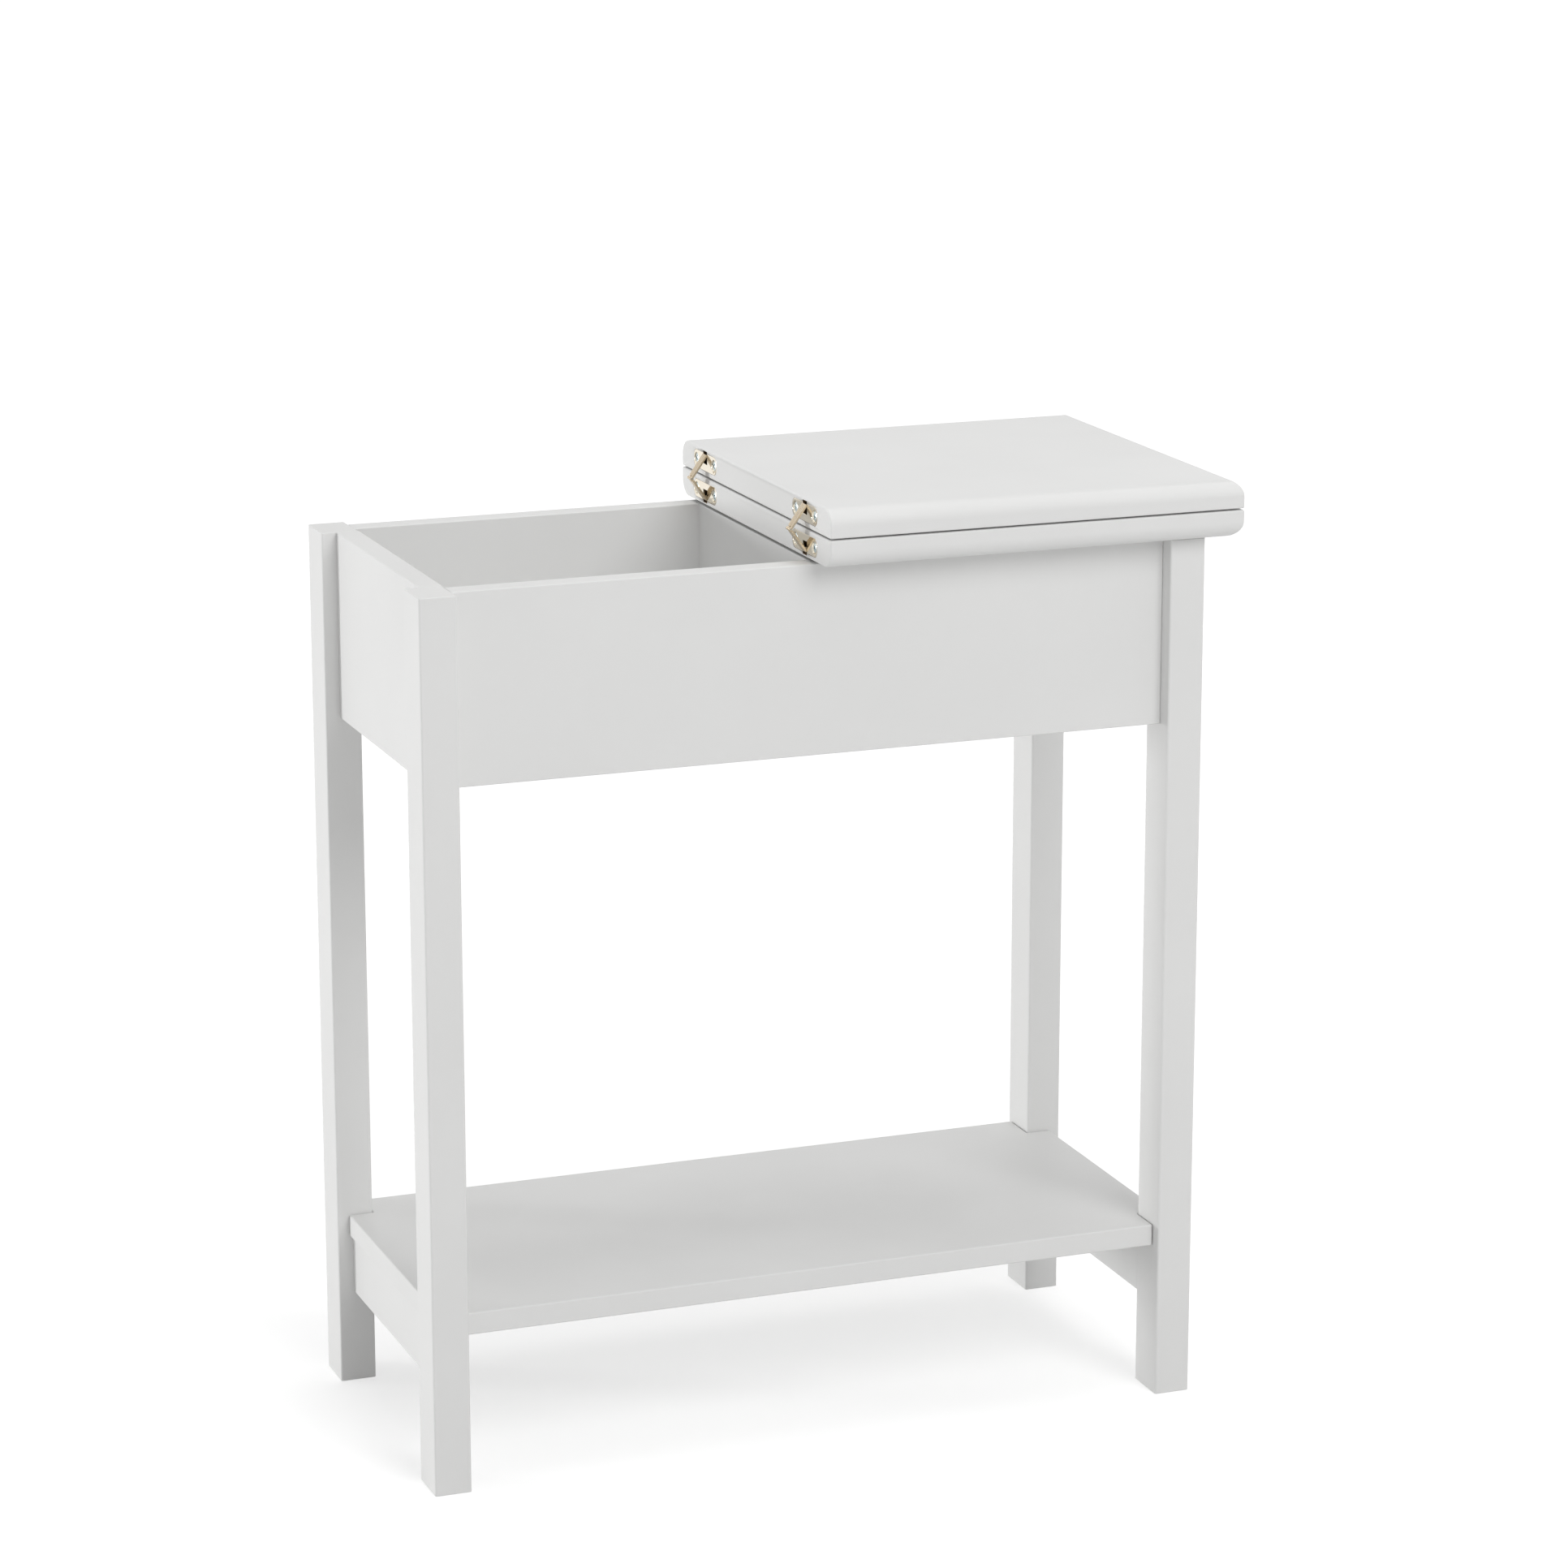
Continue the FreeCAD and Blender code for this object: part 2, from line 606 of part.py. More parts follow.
def makePin(label, centre, upper, x, z, length):
    pin = doc.addObject("Part::Cylinder", label)
    pin.setExpression("Radius", formula("pinWidth / 2"))
    pin.setExpression("Height", formula(length))
    seatHinge(pin, "%s + %s / 2" % (centre, length), upper, x, z)
    pin.Placement = FreeCAD.Placement(pin.Placement.Base, Rotation(Vector(1, 0, 0), 90))
    return keep(label, pin)


# The table

for side, right in (("left", -1), ("right", 1)):
    for end, back in (("front", -1), ("back", 1)):
        makeLeg("leg_%s_%s" % (end, side), right, back)
for label in ("front_panel", "right_panel", "back_panel", "left_panel"):
    makePanel(label)
makeTray()
makeDivider()
makeShelf()
for label in ("shelf_rail_left", "shelf_rail_right"):
    makeRail(label)
for label, y in zip(("leaf_cleat_front", "leaf_cleat_back"), cleatLines):
    makeCleat(label, y)
makeLeaf("fixed_leaf", folded=False)
makeLeaf("flip_leaf", folded=True)

for end, centre in zip(("front", "rear"), hingeCentres):
    for half in ("lower", "upper"):
        upper = half == "upper"
        makeCup("hinge_cup_%s_%s" % (half, end), centre, upper)
        makeArm("hinge_arm_%s_%s" % (half, end), centre, upper)
        makePin("hinge_tail_pin_%s_%s" % (half, end), centre, upper, "tailInset", "-tailDrop",
                "tailPinLength")
    makePin("hinge_apex_pin_%s" % end, centre, False, "-apexReach", "0", "armWidth")

doc.recompute()
for item in doc.Objects:
    if "Invalid" in item.State or "Error" in item.State:
        raise RuntimeError("%s did not build" % item.Label)
os.makedirs("parts", exist_ok=True)
for part in parts:
    if part.Shape.isNull() or not part.Shape.isValid():
        raise RuntimeError("%s has no sound shape" % part.Label)
for part in parts:
    part.Shape.exportStep(os.path.join("parts", part.Label + ".step"))
print("%d nodes" % len(parts))
for name in ("foldLine", "foldHeight", "hingeY", "tailAngle", "grooveX", "grooveZ", "armLow"):
    print("%s %.4f" % (name, value(name)))
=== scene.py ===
import bmesh
import bpy
import json
import math
from mathutils import Matrix, Vector

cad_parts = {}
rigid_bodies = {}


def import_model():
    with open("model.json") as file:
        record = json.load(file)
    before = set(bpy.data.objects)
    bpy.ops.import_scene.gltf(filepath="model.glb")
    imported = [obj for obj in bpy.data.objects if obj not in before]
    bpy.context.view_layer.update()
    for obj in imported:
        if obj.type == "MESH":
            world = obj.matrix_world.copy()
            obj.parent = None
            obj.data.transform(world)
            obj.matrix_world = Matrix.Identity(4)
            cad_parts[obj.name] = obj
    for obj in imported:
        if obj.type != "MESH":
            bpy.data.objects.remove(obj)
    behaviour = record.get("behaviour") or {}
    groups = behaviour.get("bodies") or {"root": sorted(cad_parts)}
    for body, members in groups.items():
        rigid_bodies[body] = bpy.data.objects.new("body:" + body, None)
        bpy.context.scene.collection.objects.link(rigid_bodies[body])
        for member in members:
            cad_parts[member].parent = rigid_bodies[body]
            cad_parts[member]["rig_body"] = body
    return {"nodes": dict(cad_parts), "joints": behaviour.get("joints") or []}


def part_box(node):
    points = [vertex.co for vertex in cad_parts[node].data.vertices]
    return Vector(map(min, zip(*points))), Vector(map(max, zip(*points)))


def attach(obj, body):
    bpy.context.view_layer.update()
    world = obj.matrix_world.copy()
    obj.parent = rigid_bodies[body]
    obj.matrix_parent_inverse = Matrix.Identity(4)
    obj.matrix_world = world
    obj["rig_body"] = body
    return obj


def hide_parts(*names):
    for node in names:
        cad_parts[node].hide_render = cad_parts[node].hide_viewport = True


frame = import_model()
for startUpName in ("Cube", "Light", "Camera"):
    startUp = bpy.data.objects.get(startUpName)
    if startUp:
        bpy.data.objects.remove(startUp)
nodes = frame["nodes"]
joints = {joint["name"]: joint for joint in frame["joints"]}
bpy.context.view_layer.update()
print("frame loaded:", len(nodes), "CAD pieces")

mm = 0.001
joinReach = 0.002 * mm  # points of a CAD mesh this near to each other become one
touch = 0.01 * mm  # a point this near to a face counts as on it
sharpAngle = math.radians(40)  # an edge that turns by more than this is eased
noiseSpan = (0.3, 0.7)  # a noise texture seldom goes beyond these
waveAtOne = math.pi / 10  # length of the wave texture's bands at scale 1


# Tools

def toLinear(code):
    channels = [int(code[i:i + 2], 16) / 255 for i in (1, 3, 5)]
    return [c / 12.92 if c <= 0.04045 else ((c + 0.055) / 1.055) ** 2.4 for c in channels] + [1]


def perMetre(size):
    return 1 / (size * mm)  # a texture's scale for a pattern of this many millimetres


def newMaterial(name):
    material = bpy.data.materials.new(name)
    material.use_nodes = True
    material.node_tree.nodes.clear()
    return material


def addNode(material, kind, inputs=None, **settings):
    node = material.node_tree.nodes.new("ShaderNode" + kind)
    for key, setting in settings.items():
        setattr(node, key, setting)
    for key, given in (inputs or {}).items():
        if isinstance(given, bpy.types.NodeSocket):
            material.node_tree.links.new(given, node.inputs[key])
        else:
            node.inputs[key].default_value = given
    return node


def stretchedPlace(material, stretch):
    place = addNode(material, "TexCoord").outputs["Object"]
    return addNode(material, "Mapping", {"Vector": place, "Scale": stretch}).outputs["Vector"]


def newPiece(name, bm, material, body=None):
    mesh = bpy.data.meshes.new(name)
    bmesh.ops.recalc_face_normals(bm, faces=bm.faces)
    bm.to_mesh(mesh)
    bm.free()
    mesh.materials.append(material)
    mesh.polygons.foreach_set("use_smooth", [True] * len(mesh.polygons))
    piece = bpy.data.objects.new(name, mesh)
    bpy.context.scene.collection.objects.link(piece)
    if body:
        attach(piece, body)
    return piece


def evenShading(piece):
    shading = piece.modifiers.new("even shading", "WEIGHTED_NORMAL")
    shading.keep_sharp = True


def easeEdges(piece, width, segments=3, weld=False):
    if weld:  # the CAD mesh comes with its faces apart
        joined = piece.modifiers.new("join faces", "WELD")
        joined.merge_threshold = joinReach
    if width:
        eased = piece.modifiers.new("eased edges", "BEVEL")
        eased.width = width * mm
        eased.segments = segments
        eased.limit_method = "ANGLE"
        eased.angle_limit = sharpAngle
        eased.use_clamp_overlap = False
        eased.loop_slide = False
    evenShading(piece)


def cutMesh(piece, tool, operation, selfCrossing=False):
    # the mesh of the piece after that boolean; both objects go
    cut = piece.modifiers.new("cut", "BOOLEAN")
    cut.operation = operation
    cut.object = tool
    cut.use_self = selfCrossing
    bpy.context.view_layer.update()
    mesh = bpy.data.meshes.new_from_object(piece.evaluated_get(bpy.context.evaluated_depsgraph_get()))
    for item in (piece, tool):
        bpy.data.objects.remove(item)
    mesh.polygons.foreach_set("use_smooth", [True] * len(mesh.polygons))
    return mesh


def bodyOf(nodeName):
    return nodes[nodeName]["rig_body"]


# Paint: two-part satin lacquer sprayed on medium density fibreboard
# It reads as a soft even white with a faint orange peel, and slightly drier along the cut edges.
# Where the hinge seats were routed after painting, the bare board shows dull and brown; it is painted
# darker than bare board as painted shade deep in the slots.

paint = {
    "colour": "#E9E9E8",
    "thinColour": "#E3E3E2",  # where the coat is thinner
    "cloudSize": 120,  # mm
    "peelSize": 2.4,  # mm from crest to crest
    "peelDepth": 0.012,  # mm
    "peelStrength": 0.6,
    "fibreSize": 0.7,  # mm, drawn coarser than the real 0.2 so that it shows
    "fibreDepth": 0.012,  # mm
    "fibreStrength": 0.7,
    "roughness": (0.44, 0.54),
    "edgeRoughness": 0.1,  # added where the board was cut
    "edgeFacing": (0.35, 0.8),  # a normal's share along the thin axis: all cut edge, all face
    "ior": 1.48,
    "bareBoardShadeColour": "#54412F",  # bare board, painted darker as the shade deep in the slots
    "bareBoardShadePale": "#7A6349",  # its paler fibres, darkened the same way as painted shade
    "rawRoughness": 0.85,
}


def insideBox(material, low, high):
    # 1 where the point lies inside that box, in metres
    middle = [(a + b) / 2 for a, b in zip(low, high)]
    reach = [(b - a) / 2 for a, b in zip(low, high)]
    place = addNode(material, "TexCoord").outputs["Object"]
    for kind, amount in (("SUBTRACT", middle), ("DIVIDE", reach), ("ABSOLUTE", None)):
        inputs = {0: place} if amount is None else {0: place, 1: amount}
        place = addNode(material, "VectorMath", inputs, operation=kind).outputs["Vector"]
    apart = addNode(material, "SeparateXYZ", {"Vector": place}).outputs
    widest = addNode(material, "Math", {0: apart["X"], 1: apart["Y"]}, operation="MAXIMUM").outputs[0]
    widest = addNode(material, "Math", {0: widest, 1: apart["Z"]}, operation="MAXIMUM").outputs[0]
    return addNode(material, "Math", {0: widest, 1: 1.0}, operation="LESS_THAN").outputs[0]


def lacqueredBoard(name, thinAxis, seats=None):
    # seats: the two corners of the box round a leaf's hinge seats, inside which the board is bare and
    # painted dark brown, as painted shade in the deep slots
    material = newMaterial(name)
    place = addNode(material, "TexCoord").outputs["Object"]
    cloud, peel, fibre = [
        addNode(material, "TexNoise", {"Vector": place, "Scale": perMetre(paint[size]),
                                       "Detail": detail}).outputs["Fac"]
        for size, detail in (("cloudSize", 3.0), ("peelSize", 1.0), ("fibreSize", 2.0))]
    normal = addNode(material, "TexCoord").outputs["Normal"]
    along = addNode(material, "SeparateXYZ", {"Vector": normal}).outputs[thinAxis]
    facing = addNode(material, "Math", {0: along}, operation="ABSOLUTE").outputs[0]
    cutEdge = addNode(material, "MapRange", {"Value": facing, "From Min": paint["edgeFacing"][0],
                                             "From Max": paint["edgeFacing"][1],
                                             "To Min": 1.0, "To Max": 0.0}).outputs["Result"]
    colour = addNode(material, "Mix", {"Factor": cloud, "A": toLinear(paint["colour"]),
                                       "B": toLinear(paint["thinColour"])},
                     data_type="RGBA").outputs["Result"]
    rough = addNode(material, "MapRange", {"Value": cloud, "From Min": noiseSpan[0],
                                           "From Max": noiseSpan[1],
                                           "To Min": paint["roughness"][0],
                                           "To Max": paint["roughness"][1]}).outputs["Result"]
    edgeRough = addNode(material, "Math", {0: cutEdge, 1: paint["edgeRoughness"], 2: rough},
                        operation="MULTIPLY_ADD").outputs[0]
    peelBump = addNode(material, "Bump", {"Height": peel, "Distance": paint["peelDepth"] * mm,
                                          "Strength": paint["peelStrength"]}).outputs["Normal"]
    fibreHeight = addNode(material, "Math", {0: fibre, 1: cutEdge}, operation="MULTIPLY").outputs[0]
    bump = addNode(material, "Bump", {"Height": fibreHeight, "Distance": paint["fibreDepth"] * mm,
                                      "Strength": paint["fibreStrength"],
                                      "Normal": peelBump}).outputs["Normal"]
    surface = addNode(material, "BsdfPrincipled", {"Base Color": colour, "Roughness": edgeRough,
                                                   "IOR": paint["ior"], "Normal": bump}).outputs[0]
    # inside the seats: bare board painted dark as the shade in the deep slots
    if seats:
        bareFibresShade = addNode(material, "Mix", {"Factor": fibre, "A": toLinear(paint["bareBoardShadeColour"]),
                                           "B": toLinear(paint["bareBoardShadePale"])},
                         data_type="RGBA").outputs["Result"]
        bareBoardShade = addNode(material, "BsdfPrincipled", {"Base Color": bareFibresShade, "Normal": bump,
                                                   "Roughness": paint["rawRoughness"]}).outputs[0]
        surface = addNode(material, "MixShader", {0: insideBox(material, *seats),
                                                  1: surface, 2: bareBoardShade}).outputs[0]
    addNode(material, "OutputMaterial", {"Surface": surface})
    return material


# Metals of the hinges

metals = {
    # nickel plate, polished: a warm mirror with hairline wiping marks
    "polishedNickel": {"colour": "#E6DFD0", "tint": "#D6CBB6", "roughness": (0.05, 0.12),
                       "grainSize": 1.2, "grainDepth": 0.002, "stretch": (1, 0.08, 1)},
    # steel strip with a champagne-coloured passivated zinc: satin, brushed along its length
    "champagneZinc": {"colour": "#E2D8C6", "tint": "#BBA582", "roughness": (0.2, 0.34),
                      "grainSize": 0.5, "grainDepth": 0.006, "stretch": (0.2, 1, 0.2)},
    # clear passivated zinc on the screws: cool and bright
    "clearZinc": {"colour": "#DDE6E7", "tint": "#C3CDCE", "roughness": (0.18, 0.3),
                  "grainSize": 0.8, "grainDepth": 0.004, "stretch": (1, 1, 1)},
    # ground steel of the pins: grey satin with fine lines along the pin
    "groundSteel": {"colour": "#CBC6BC", "tint": "#A8A39A", "roughness": (0.2, 0.3),
                    "grainSize": 0.4, "grainDepth": 0.003, "stretch": (1, 0.3, 1)},
}
metalCloud = 8  # mm across the patches where the colour goes over into the tint
metalBump = 0.5


def metalMaterial(name):
    sizes = metals[name]
    material = newMaterial(name)
    place = stretchedPlace(material, sizes["stretch"])
    grain, cloud = [
        addNode(material, "TexNoise", {"Vector": place, "Scale": perMetre(size),
                                       "Detail": detail}).outputs["Fac"]
        for size, detail in ((sizes["grainSize"], 3.0), (metalCloud, 2.0))]
    colour = addNode(material, "Mix", {"Factor": cloud, "A": toLinear(sizes["colour"]),
                                       "B": toLinear(sizes["tint"])},
                     data_type="RGBA").outputs["Result"]
    rough = addNode(material, "MapRange", {"Value": grain, "From Min": noiseSpan[0],
                                           "From Max": noiseSpan[1],
                                           "To Min": sizes["roughness"][0],
                                           "To Max": sizes["roughness"][1]}).outputs["Result"]
    bump = addNode(material, "Bump", {"Height": grain, "Distance": sizes["grainDepth"] * mm,
                                      "Strength": metalBump}).outputs["Normal"]
    shader = addNode(material, "BsdfPrincipled", {"Base Color": colour, "Metallic": 1.0,
                                                  "Roughness": rough, "Normal": bump})
    addNode(material, "OutputMaterial", {"Surface": shader.outputs[0]})
    return material


# Cleats: planed softwood, left bare inside the closed half of the box
# It reads as pale straw with browner year lines along the length.

softwood = {
    "colour": "#E0C79B",
    "lateColour": "#C49F6A",
    "ringSize": 4.5,  # mm from one year to the next
    "ringStretch": (0.06, 1, 1),  # the lines run along the cleat
    "ringWander": 3.0,
    "ringDepth": 0.05,  # mm
    "ringStrength": 0.5,
    "roughness": 0.62,
}


def planedSoftwood():
    material = newMaterial("planedSoftwood")
    place = stretchedPlace(material, softwood["ringStretch"])
    scale = perMetre(softwood["ringSize"]) * waveAtOne
    rings = addNode(material, "TexWave", {"Vector": place, "Scale": scale,
                                          "Distortion": softwood["ringWander"], "Detail": 2.0},
                    bands_direction="Y").outputs["Fac"]
    colour = addNode(material, "Mix", {"Factor": rings, "A": toLinear(softwood["colour"]),
                                       "B": toLinear(softwood["lateColour"])},
                     data_type="RGBA").outputs["Result"]
    bump = addNode(material, "Bump", {"Height": rings, "Distance": softwood["ringDepth"] * mm,
                                      "Strength": softwood["ringStrength"]}).outputs["Normal"]
    shader = addNode(material, "BsdfPrincipled", {"Base Color": colour, "Normal": bump,
                                                  "Roughness": softwood["roughness"]})
    addNode(material, "OutputMaterial", {"Surface": shader.outputs[0]})
    return material


lacquer = {axis: lacqueredBoard("satinLacquer" + axis, axis) for axis in "XYZ"}
metal = {name: metalMaterial(name) for name in metals}
bareWood = planedSoftwood()
print("materials made")


# Boards: the CAD pieces, with their edges eased as a painter's sandpaper leaves them

boards = {
    "easing": 0.7,  # mm
    "shelfEasing": 1.0,
    "legEasing": 0.5,
    "rimSegments": 3,
    # the way through each board
    "thinAxis": {"front_panel": "Y", "back_panel": "Y", "left_panel": "X", "right_panel": "X",
                 "tray_divider": "X", "shelf_rail_left": "X", "shelf_rail_right": "X",
                 "tray_bottom": "Z", "lower_shelf": "Z"},
}
leaves = {
    "easing": 1.1,  # mm
    "easingSegments": 4,
    "rounding": 10.9,  # mm
    "roundingSegments": 12,
    "gain": 0.7,  # mm that a leaf is thicker than its solid, where the two meet, for a thin gap
    "hair": 0.01,  # mm, how far the easing block stands outside the leaf
    "seatReach": (15, 125),  # mm, the hinge seats lie left of this x and within this of the middle
    "seatSkin": 0.1,  # mm behind the hinge face where the bare board, painted dark as slot shade, begins
}


def dressNode(name, material, easing, segments=3):
    nodes[name].data.materials.clear()
    nodes[name].data.materials.append(material)
    easeEdges(nodes[name], easing, segments, weld=True)


def joinedCopy(name):
    bm = bmesh.new()
    bm.from_mesh(nodes[name].data)
    bmesh.ops.remove_doubles(bm, verts=bm.verts, dist=joinReach)
    return bm


def softenedCopy(name, pieceName, material, easing, axis, faces):
    # stands in for the node; of its sharp edges only those on these faces across that axis are eased
    bm = joinedCopy(name)
    onFaces = {vert for vert in bm.verts if min(abs(vert.co[axis] - face) for face in faces) < touch}
    rims = [edge for edge in bm.edges
            if edge.calc_face_angle(0) > sharpAngle and onFaces.issuperset(edge.verts)]
    bmesh.ops.bevel(bm, geom=rims, offset=easing * mm, segments=boards["rimSegments"], profile=0.5,
                    affect="EDGES", clamp_overlap=False)
    piece = newPiece(pieceName, bm, material, bodyOf(name))
    evenShading(piece)
    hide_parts(name)


def easedBlock(low, high, roundedSide):
    # the leaf's outside with all its edges softened, a hair larger than the leaf
    hair = Vector([leaves["hair"] * mm] * 3)
    low, high = low - hair, high + hair
    bm = bmesh.new()
    corners = bmesh.ops.create_cube(bm, size=1)["verts"]
    bmesh.ops.scale(bm, vec=high - low, verts=corners)
    bmesh.ops.translate(bm, vec=(low + high) / 2, verts=corners)
    far = high.z if roundedSide > 0 else low.z
    rounded = [edge for edge in bm.edges if all(abs(vert.co.z - far) < touch for vert in edge.verts)
               and any(vert.co.x > 0 for vert in edge.verts)]
    bmesh.ops.bevel(bm, geom=rounded, offset=leaves["rounding"] * mm,
                    segments=leaves["roundingSegments"], profile=0.5, affect="EDGES")
    sharp = [edge for edge in bm.edges if edge.calc_face_angle(0) > sharpAngle]
    bmesh.ops.bevel(bm, geom=sharp, offset=leaves["easing"] * mm,
                    segments=leaves["easingSegments"], profile=0.5, affect="EDGES")
    return bm


def thickenedLeaf(name, roundedSide):
    # the leaf with its gain, and its lowest and highest corners
    low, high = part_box(name)
    bm = joinedCopy(name)
    gain = Vector((0, 0, -roundedSide * leaves["gain"] * mm))
    meeting = low if roundedSide > 0 else high
    for vert in bm.verts:
        if abs(vert.co.z - meeting.z) < touch:
            vert.co += gain
    meeting += gain
    return bm, low, high


def makeLeaf(name, roundedSide):
    # roundedSide is 1 where the rounded edges lie above, -1 where they lie below
    bm, low, high = thickenedLeaf(name, roundedSide)
    seatX, seatY = [reach * mm for reach in leaves["seatReach"]]
    skin = leaves["seatSkin"] * mm
    inset = (leaves["seatSkin"] + leaves["easing"]) * mm
    # the box where the slots' bare board is painted dark, as painted shade
    seats = ((low.x + skin, -seatY, low.z + inset), (seatX, seatY, high.z - inset))
    material = lacqueredBoard("satinLacquer_" + name, "Z", seats)
    whole = newPiece("wholeLeaf", bm, material)
    block = newPiece("easedBlock", easedBlock(low, high, roundedSide), material)
    leaf = bpy.data.objects.new(name.split("_")[0] + "_board", cutMesh(whole, block, "INTERSECT"))
    bpy.context.scene.collection.objects.link(leaf)
    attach(leaf, bodyOf(name))
    evenShading(leaf)
    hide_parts(name)


for name, axis in boards["thinAxis"].items():
    if name in ("front_panel", "back_panel"):
        softenedCopy(name, name.replace("panel", "board"), lacquer[axis],
                     boards["easing"], 2, [corner.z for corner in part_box(name)])
    else:
        easing = {"lower_shelf": boards["shelfEasing"], "tray_bottom": 0}.get(name, boards["easing"])
        dressNode(name, lacquer[axis], easing)
for name in nodes:
    if name.startswith("leg_"):
        dressNode(name, lacquer["X"], boards["legEasing"], 2)
    elif name.startswith("leaf_cleat"):
        dressNode(name, bareWood, boards["easing"])
makeLeaf("fixed_leaf", -1)
makeLeaf("flip_leaf", 1)
print("boards dressed")


# Hinges: each has two plates, two laminated arms, three pins and four screws

hinge = {
    "plateEasing": 0.35,  # mm
    "armEasing": 0.15,
    "pinEasing": 0.1,
    "laminations": 4,  # every other one reaches the apex pin
    "laminationPitch": 1.8,
    "laminationWidth": 1.5,
    "barThickness": 1.5,
    "apexEyeWidth": 2.3,
    "tailEyeWidth": 2.1,
    "eyeHole": 1.3,  # round a 1.2 mm pin
    "kneeInset": 0.1,  # mm right of the fold line
    "slope": 55,  # degrees, from the apex to the knee
    "fingerGap": 0.3,  # mm round the other arm's eye
    "arcSteps": 10,
    "holeSteps": 16,
}
screw = {
    "spread": 17,  # mm from the plate's middle
    "headWidth": 7.9,
    "rimHeight": 0.55,
    "domeHeight": 0.9,
    "seatDepth": 1.5,  # mm below the plate's face
    "shankWidth": 3.4,
    "shankLength": 9,
    "crossLength": 4.4,
    "crossWidth": 0.9,
    "crossDepth": 1.1,
    "easing": 0.08,
    "steps": 36,
    "crownSteps": 8,
    "firstTurn": 0.7,  # radians, each screw stopped at its own angle
    "nextTurn": 1.3,
}

foldLine, _, foldHeight = joints["leaf_fold"]["pos_m"]


def arcPoints(centre, radius, start, end, steps):
    return [centre + radius * Vector((math.cos(start + (end - start) * i / steps),
                                      math.sin(start + (end - start) * i / steps)))
            for i in range(steps + 1)]


def stripOutline(first, knee, last, half, firstEye, lastEye):
    # runs against the clock: round the first eye, along the right side, round the last eye and back
    there, on = (knee - first).normalized(), (last - knee).normalized()
    left, leftOn = Vector((-there.y, there.x)), Vector((-on.y, on.x))
    heading, headingOn = math.atan2(there.y, there.x), math.atan2(on.y, on.x)
    lean, leanOn = math.asin(half / firstEye), math.asin(half / lastEye)
    mitre = (left + leftOn).normalized()
    turn = math.pi / 2
    steps = hinge["arcSteps"]
    outline = arcPoints(first, firstEye, heading + lean, heading + 2 * math.pi - lean, 2 * steps)
    outline += arcPoints(knee, half, heading - turn, headingOn - turn, steps // 2)
    outline += arcPoints(last, lastEye, headingOn - math.pi + leanOn, headingOn + math.pi - leanOn,
                         2 * steps)
    return outline + [knee + mitre * half / mitre.dot(left)]


def addPlate(bm, outline, holes, middle, width):
    # a flat plate of that outline across Y, in millimetres from the fold axis
    edges = []
    for loop in [outline] + holes:
        verts = [bm.verts.new((spot.x, middle - width / 2, spot.y)) for spot in loop]
        edges += [bm.edges.new((verts[i - 1], verts[i])) for i in range(len(verts))]
    faces = [item for item in bmesh.ops.triangle_fill(bm, use_beauty=True, edges=edges)["geom"]
             if isinstance(item, bmesh.types.BMFace)]
    swept = bmesh.ops.extrude_face_region(bm, geom=faces, use_keep_orig=True)["geom"]
    moved = [item for item in swept if isinstance(item, bmesh.types.BMVert)]
    bmesh.ops.translate(bm, vec=(0, width, 0), verts=moved)


def overFoldAxis(centreY, upper):
    # from a hinge's own millimetres to the table; an upper half is turned over about X
    side = -mm if upper else mm
    return Matrix.Translation((foldLine, centreY, foldHeight)) @ Matrix.Diagonal((mm, side, side, 1))


def makeArm(half, end):
    node = "hinge_arm_%s_%s" % (half, end)
    apexPlace = joints["arm_%s_%s_swing" % (half, end)]["pos_m"]
    low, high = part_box("hinge_tail_pin_%s_%s" % (half, end))
    tailPlace = (low + high) / 2
    apex = Vector((apexPlace[0] - foldLine, 0)) / mm
    tail = Vector((tailPlace.x - foldLine, -abs(tailPlace.z - foldHeight))) / mm
    inset = hinge["kneeInset"]
    knee = Vector((inset, (apex.x - inset) * math.tan(math.radians(hinge["slope"]))))
    bar, apexEye, tailEye, hole = [
        hinge[size] / 2 for size in ("barThickness", "apexEyeWidth", "tailEyeWidth", "eyeHole")]
    root = apex + (knee - apex).normalized() * (apexEye + hinge["fingerGap"] + bar)
    bm = bmesh.new()
    for number in range(hinge["laminations"]):
        reaches = number % 2 == 0
        first, eye = (apex, apexEye) if reaches else (root, bar)
        outline = stripOutline(first, knee, tail, bar, eye, tailEye)
        eyes = ([apex] if reaches else []) + [tail]
        holes = [arcPoints(spot, hole, 0, 2 * math.pi, hinge["holeSteps"])[:-1] for spot in eyes]
        middle = ((hinge["laminations"] - 1) / 2 - number) * hinge["laminationPitch"]
        addPlate(bm, outline, holes, middle, hinge["laminationWidth"])
    bm.transform(overFoldAxis(apexPlace[1], half == "upper"))
    bm.normal_update()  # else an arm that was turned over comes out with its faces inside out
    arm = newPiece("laminated_" + node[6:], bm, metal["champagneZinc"], bodyOf(node))
    easeEdges(arm, hinge["armEasing"], 2)
    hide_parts(node)


def turnedMesh(profile, steps):
    # turns the profile's points (radius, place along X) about X
    turns = [2 * math.pi * i / steps for i in range(steps)]
    bm = bmesh.new()
    rings = []
    for radius, along in profile:
        if radius == 0:
            rings.append([bm.verts.new((along, 0, 0))])
        else:
            rings.append([bm.verts.new((along, radius * math.cos(turn), radius * math.sin(turn)))
                          for turn in turns])
    for one, two in zip(rings, rings[1:]):
        for i in range(steps):
            j = (i + 1) % steps
            corners = [one[i % len(one)], one[j % len(one)], two[j % len(two)], two[i % len(two)]]
            bm.faces.new(list(dict.fromkeys(corners)))
    return bm


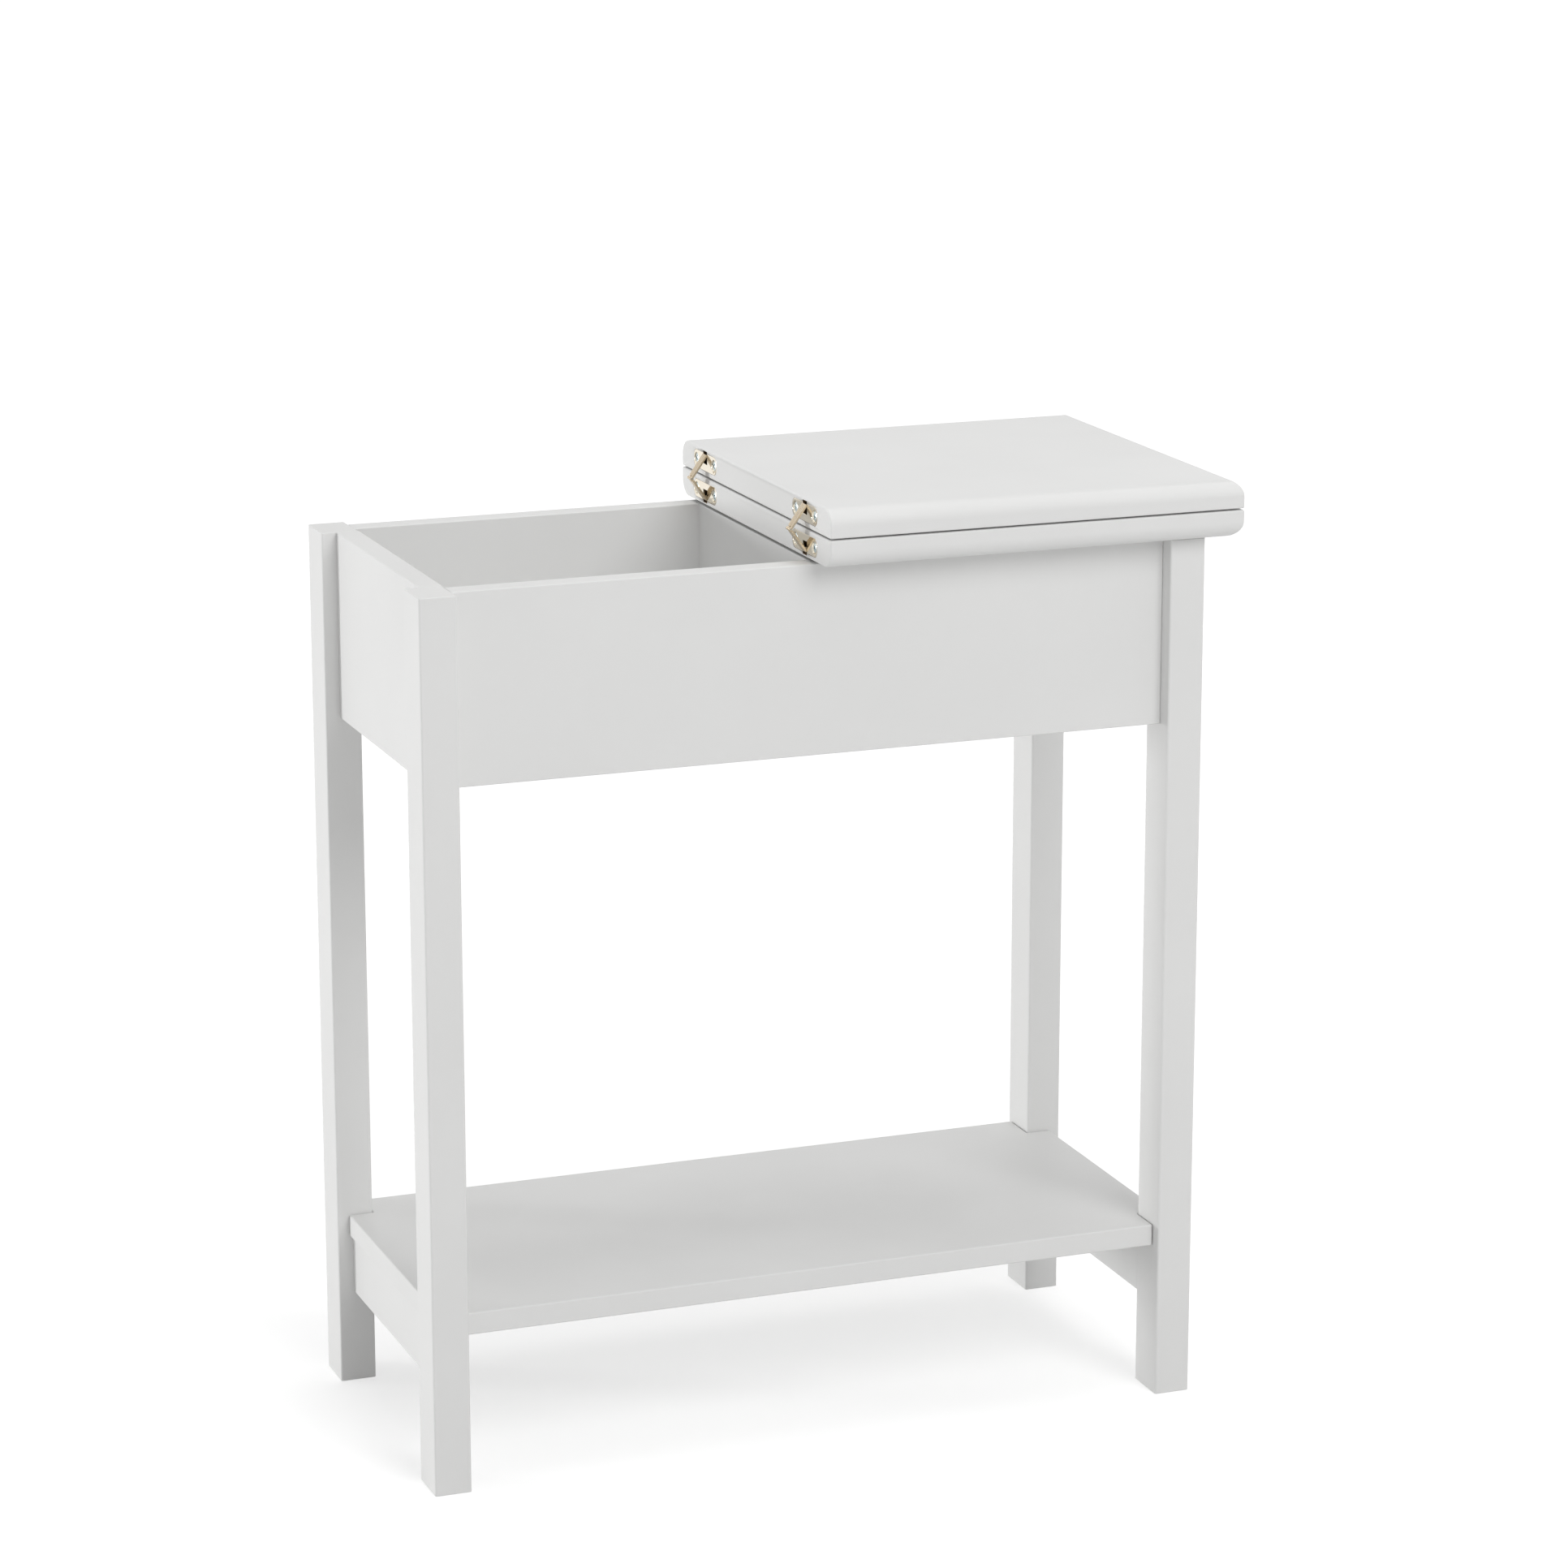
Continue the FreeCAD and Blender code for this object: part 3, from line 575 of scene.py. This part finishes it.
def screwMesh():
    # oval head with a cross recess; the seat is at x = 0 and the head looks along -X
    rim, dome = screw["rimHeight"], screw["domeHeight"]
    half, shank = screw["headWidth"] / 2, screw["shankWidth"] / 2
    radius = (half ** 2 + dome ** 2) / (2 * dome)
    reach = math.asin(half / radius)
    steps = screw["crownSteps"]
    turns = [reach * (1 - i / steps) for i in range(steps + 1)]
    crown = [(radius * math.sin(turn), -rim - dome + radius - radius * math.cos(turn))
             for turn in turns]
    profile = [(0, screw["shankLength"]), (shank, screw["shankLength"]), (shank, 0), (half, 0)] + crown
    profile[-1] = (0, profile[-1][1])
    head = newPiece("screwForm", turnedMesh(profile, screw["steps"]), metal["clearZinc"])
    bm = bmesh.new()
    length, width, depth = screw["crossLength"], screw["crossWidth"], screw["crossDepth"]
    for sides in ((length, width), (width, length)):
        made = bmesh.ops.create_cube(bm, size=1)["verts"]
        bmesh.ops.scale(bm, vec=(2 * depth, *sides), verts=made)
        bmesh.ops.translate(bm, vec=(-rim - dome, 0, 0), verts=made)
    cutter = newPiece("crossCutter", bm, metal["clearZinc"])
    mesh = cutMesh(head, cutter, "DIFFERENCE", selfCrossing=True)
    mesh.transform(Matrix.Scale(mm, 4))
    return mesh


screwForm = screwMesh()


def seatScrews(half, end, number):
    cup = "hinge_cup_%s_%s" % (half, end)
    low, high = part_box(cup)
    for i, side in enumerate((-1, 1)):
        piece = bpy.data.objects.new("plate_screw_%s_%s_%d" % (half, end, i + 1), screwForm)
        bpy.context.scene.collection.objects.link(piece)
        spot = Vector((low.x + screw["seatDepth"] * mm,
                       (low.y + high.y) / 2 + side * screw["spread"] * mm,
                       (low.z + high.z) / 2))
        turn = screw["firstTurn"] + screw["nextTurn"] * (2 * number + i)
        piece.matrix_world = Matrix.Translation(spot) @ Matrix.Rotation(turn, 4, "X")
        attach(piece, bodyOf(cup))
        easeEdges(piece, screw["easing"], 2)


def makeCup(half, end):
    # only the plate's edge is eased; the pin grooves inside keep their shape
    name = "hinge_cup_%s_%s" % (half, end)
    softenedCopy(name, "mirror_" + name[6:], metal["polishedNickel"],
                 hinge["plateEasing"], 0, [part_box(name)[0].x])


halves = [(half, end) for end in ("front", "rear") for half in ("lower", "upper")]
for number, (half, end) in enumerate(halves):
    makeCup(half, end)
    dressNode("hinge_tail_pin_%s_%s" % (half, end), metal["groundSteel"], hinge["pinEasing"], 2)
    makeArm(half, end)
    seatScrews(half, end, number)
for end in ("front", "rear"):
    dressNode("hinge_apex_pin_" + end, metal["groundSteel"], hinge["pinEasing"], 2)
print("hinges made")


# Studio: white sweep, soft light from the left, the front and above

studio = {
    "floorSize": 60,  # metres
    "floorColour": "#E4E4E4",
    "floorGlow": (0.47, 0.68),  # what the camera sees on top of the lit floor, near and far
    "glowReach": (0.7, 3.0),  # metres from the table
    "skyStrength": 0.48,
    "skyColour": "#FFFFFF",
    "aim": (0, 0, 0.35),  # every lamp points here
}
lamps = {
    # low, so that it reaches under the shelf
    "leftLamp": {"place": (-6.0, 3.2, 0.48), "size": 0.94, "power": 180},
    "frontLamp": {"place": (0.7, -3.4, 2.8), "size": 2.4, "power": 62},
    "topLamp": {"place": (0.3, 0.2, 3.6), "size": 2.4, "power": 24},
}


def seenRays(material):
    # 1 for a ray from the camera, or one that a metal or glass sends on
    rays = addNode(material, "LightPath").outputs
    seen = rays["Is Camera Ray"]
    for kind in ("Is Glossy Ray", "Is Transmission Ray"):
        seen = addNode(material, "Math", {0: seen, 1: rays[kind]}, operation="ADD").outputs[0]
    return seen


def makeFloor():
    # matt background paper: it reads as one even white, and glows less near the table so that
    # the soft shadow stays
    material = newMaterial("paperSweep")
    place = addNode(material, "TexCoord").outputs["Object"]
    away = addNode(material, "VectorMath", {0: place}, operation="LENGTH").outputs["Value"]
    near, far = studio["glowReach"]
    glow = addNode(material, "MapRange", {"Value": away, "From Min": near, "From Max": far,
                                          "To Min": studio["floorGlow"][0],
                                          "To Max": studio["floorGlow"][1]}).outputs["Result"]
    glow = addNode(material, "Math", {0: seenRays(material), 1: glow}, operation="MULTIPLY").outputs[0]
    paper = addNode(material, "BsdfDiffuse", {"Color": toLinear(studio["floorColour"])}).outputs[0]
    shine = addNode(material, "Emission", {"Strength": glow}).outputs[0]
    both = addNode(material, "AddShader", {0: paper, 1: shine}).outputs[0]
    addNode(material, "OutputMaterial", {"Surface": both})
    bm = bmesh.new()
    bmesh.ops.create_grid(bm, x_segments=1, y_segments=1, size=studio["floorSize"] / 2)
    floor = newPiece("floor", bm, material)


def makeSky():
    # white where it is seen or mirrored, and weaker as a light
    world = bpy.data.worlds.new("studioSky")
    world.use_nodes = True
    bpy.context.scene.world = world
    world.node_tree.nodes.clear()
    strength = addNode(world, "MapRange", {"Value": seenRays(world), "To Min": studio["skyStrength"],
                                           "To Max": 1.0}).outputs["Result"]
    sky = addNode(world, "Background", {"Color": toLinear(studio["skyColour"]), "Strength": strength})
    addNode(world, "OutputWorld", {"Surface": sky.outputs[0]})


def makeLamp(name, place, size, power):
    light = bpy.data.lights.new(name, "AREA")
    light.shape = "DISK"
    light.size = size
    light.energy = power
    lamp = bpy.data.objects.new(name, light)
    bpy.context.scene.collection.objects.link(lamp)
    lamp.location = place
    lamp.rotation_euler = (Vector(studio["aim"]) - lamp.location).to_track_quat("-Z", "Y").to_euler()


makeFloor()
makeSky()
for name, sizes in lamps.items():
    makeLamp(name, **sizes)

view = {
    "place": (-1.1407, -3.0284, 1.2447),  # metres
    "turn": (75.814, 0.028, -20.804),  # degrees
    "lens": 113.6,  # mm
    "sensor": 36,
}
camera = bpy.data.objects.new("camera", bpy.data.cameras.new("camera"))
bpy.context.scene.collection.objects.link(camera)
camera.location = view["place"]
camera.rotation_euler = [math.radians(angle) for angle in view["turn"]]
camera.data.lens = view["lens"]
camera.data.sensor_width = view["sensor"]
bpy.context.scene.camera = camera
bpy.context.scene.view_settings.view_transform = "Standard"
print("studio made")

bpy.context.view_layer.update()
